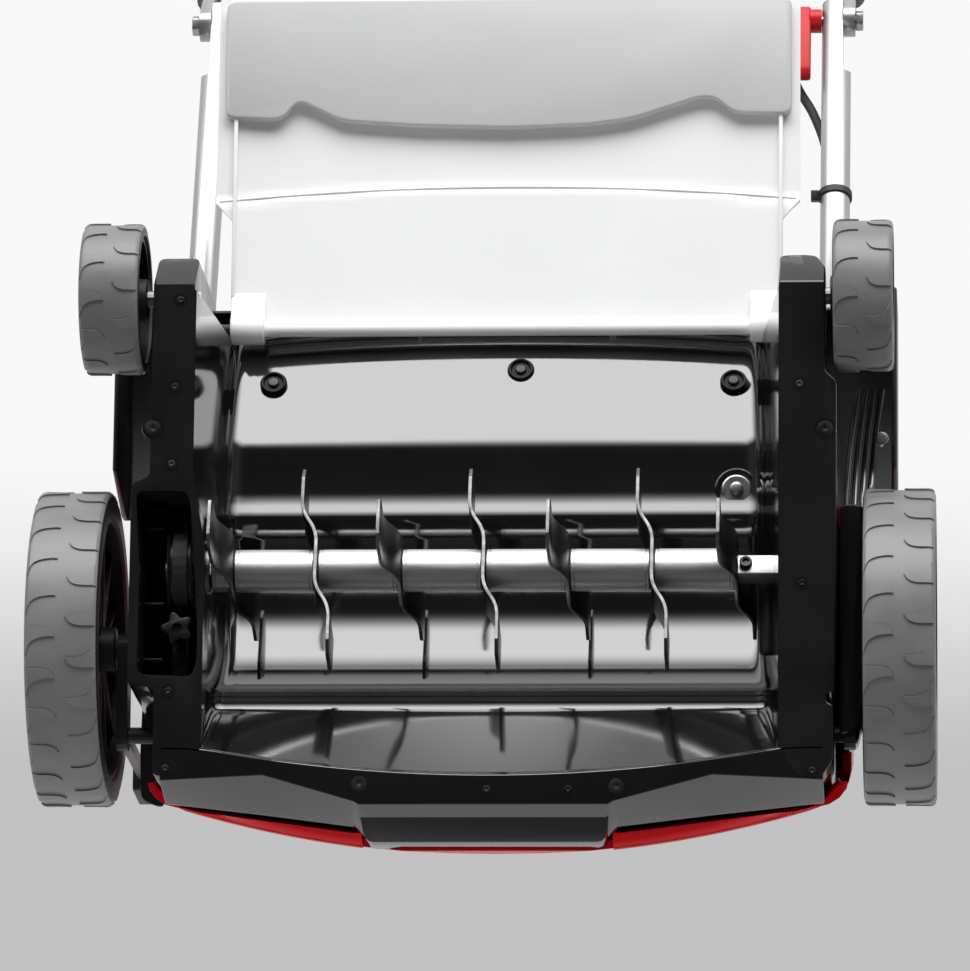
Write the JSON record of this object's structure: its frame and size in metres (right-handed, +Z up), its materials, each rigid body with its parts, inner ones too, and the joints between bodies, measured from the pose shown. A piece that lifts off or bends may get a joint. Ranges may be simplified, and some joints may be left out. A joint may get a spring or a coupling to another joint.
{
  "type": "lawn scarifier",
  "caption": "Electric lawn scarifier: belt-driven knife roller under a wheeled black chassis, with a red hood, a raised rear flap and a folding handle.",
  "frame": {"origin": "centre of the machine's footprint box, on the ground under the wheels", "axes": "+Z up, +Y towards the operator, -Y the front, +X the belt-drive side"},
  "size_m": [0.641, 1.1838, 0.9574],
  "materials": {
    "chassis_gloss": "high gloss, lightly scuffed on the rails",
    "knife_steel": "dark rolled steel with bright sheared edges",
    "bright_steel": "zinc plated, ground",
    "motor_paint": "die cast housing in satin paint",
    "matt_plastic": "fine moulded texture",
    "cover_grey": "fine moulded texture",
    "hood_red": "gloss",
    "trim_red": "satin gloss",
    "flap_grey": "satin",
    "tube_silver": "satin silver coat",
    "bail_black": "satin black coat",
    "tyre_grey": "moulded tread, satin",
    "belt_rubber": "matt"
  },
  "bodies": {
    "chassis": {"chassis_shell": "chassis_gloss", "bearing_left": "bright_steel", "bearing_right": "bright_steel", "motor": "motor_paint", "motor_cradle": "matt_plastic", "drive_belt": "belt_rubber", "belt_adjuster": "bright_steel", "hood": "hood_red", "vent_grille": "matt_plastic", "rear_cover": "cover_grey", "roof_bolt": "bright_steel", "guard_pin": "matt_plastic", "rear_stub_left": "bright_steel", "rear_stub_right": "bright_steel", "flap_rod": "bright_steel", "lower_tube_left": "tube_silver", "lower_tube_right": "tube_silver", "tube_socket_left": "matt_plastic", "tube_socket_right": "matt_plastic", "clamp_bolt_left": "bright_steel", "clamp_bolt_right": "bright_steel", "motor_cable_lower": "belt_rubber", "cable_tie": "matt_plastic"},
    "roller": {"roller_bar": "bright_steel", "roller_set_screw": "bright_steel", "roller_pulley": "matt_plastic", "knife_1": "knife_steel", "knife_2": "knife_steel", "knife_3": "knife_steel", "knife_4": "knife_steel", "knife_5": "knife_steel", "knife_6": "knife_steel", "knife_7": "knife_steel", "spacer_1": "bright_steel", "spacer_2": "bright_steel", "spacer_3": "bright_steel", "spacer_4": "bright_steel", "spacer_5": "bright_steel", "spacer_6": "bright_steel", "spacer_7": "bright_steel"},
    "motor_rotor": {"motor_pulley": "bright_steel"},
    "front_axle": {"front_axle": "knife_steel", "depth_lever_grip": "trim_red"},
    "wheel_front_left": {"tyre_front_left": "tyre_grey", "rim_front_left": "matt_plastic"},
    "wheel_front_right": {"tyre_front_right": "tyre_grey", "rim_front_right": "matt_plastic"},
    "wheel_rear_left": {"tyre_rear_left": "tyre_grey", "rim_rear_left": "matt_plastic"},
    "wheel_rear_right": {"tyre_rear_right": "tyre_grey", "rim_rear_right": "matt_plastic"},
    "flap": {"rear_flap": "flap_grey"},
    "upper_handle": {"upper_handle": "tube_silver", "handle_grip": "matt_plastic", "switch_box": "matt_plastic", "motor_cable_upper": "belt_rubber"},
    "clamp_lever_left": {"clamp_lever_left": "trim_red"},
    "clamp_lever_right": {"clamp_lever_right": "trim_red"},
    "bail": {"bail": "bail_black"},
    "start_button": {"start_button": "trim_red"}
  },
  "joints": [
    {"name": "depth_adjust", "type": "hinge", "parent": "chassis", "child": "front_axle", "pos_m": [0, -0.5019, 0.115], "axis": [1, 0, 0], "range_deg": [0, 17]},
    {"name": "front_left_spin", "type": "hinge", "parent": "front_axle", "child": "wheel_front_left", "pos_m": [0.294, -0.4399, 0.112], "axis": [1, 0, 0], "continuous": true},
    {"name": "front_right_spin", "type": "hinge", "parent": "front_axle", "child": "wheel_front_right", "pos_m": [-0.294, -0.4399, 0.112], "axis": [1, 0, 0], "continuous": true},
    {"name": "rear_left_spin", "type": "hinge", "parent": "chassis", "child": "wheel_rear_left", "pos_m": [0.266, -0.1989, 0.054], "axis": [1, 0, 0], "continuous": true},
    {"name": "rear_right_spin", "type": "hinge", "parent": "chassis", "child": "wheel_rear_right", "pos_m": [-0.266, -0.1989, 0.054], "axis": [1, 0, 0], "continuous": true},
    {"name": "roller_spin", "type": "hinge", "parent": "chassis", "child": "roller", "pos_m": [0, -0.3889, 0.088], "axis": [1, 0, 0], "continuous": true},
    {"name": "motor_spin", "type": "hinge", "parent": "chassis", "child": "motor_rotor", "pos_m": [0.213, -0.4599, 0.225], "axis": [1, 0, 0], "continuous": true},
    {"name": "flap_hinge", "type": "hinge", "parent": "chassis", "child": "flap", "pos_m": [-0.0085, -0.1879, 0.183], "axis": [1, 0, 0], "range_deg": [-38, 8]},
    {"name": "handle_fold", "type": "hinge", "parent": "chassis", "child": "upper_handle", "pos_m": [-0.0085, 0.1001, 0.3743], "axis": [1, 0, 0], "range_deg": [0, 118]},
    {"name": "clamp_left_turn", "type": "hinge", "parent": "chassis", "child": "clamp_lever_left", "pos_m": [0.206, 0.1001, 0.3743], "axis": [1, 0, 0], "range_deg": [0, 90]},
    {"name": "clamp_right_turn", "type": "hinge", "parent": "chassis", "child": "clamp_lever_right", "pos_m": [-0.223, 0.1001, 0.3743], "axis": [1, 0, 0], "range_deg": [0, 90]},
    {"name": "bail_hinge", "type": "hinge", "parent": "upper_handle", "child": "bail", "pos_m": [-0.0085, 0.47934, 0.82627], "axis": [1, 0, 0], "range_deg": [-18, 0], "stiffness_Nm_per_rad": 0.8, "springref_deg": 20.05},
    {"name": "start_press", "type": "slide", "parent": "upper_handle", "child": "start_button", "axis": [0, -1, 0], "range_m": [0, 0.004], "stiffness_N_per_m": 300, "springref_m": -0.003}
  ],
  "couplings": [
    {"joint": "motor_spin", "follows": "roller_spin", "ratio": 2.56}
  ]
}
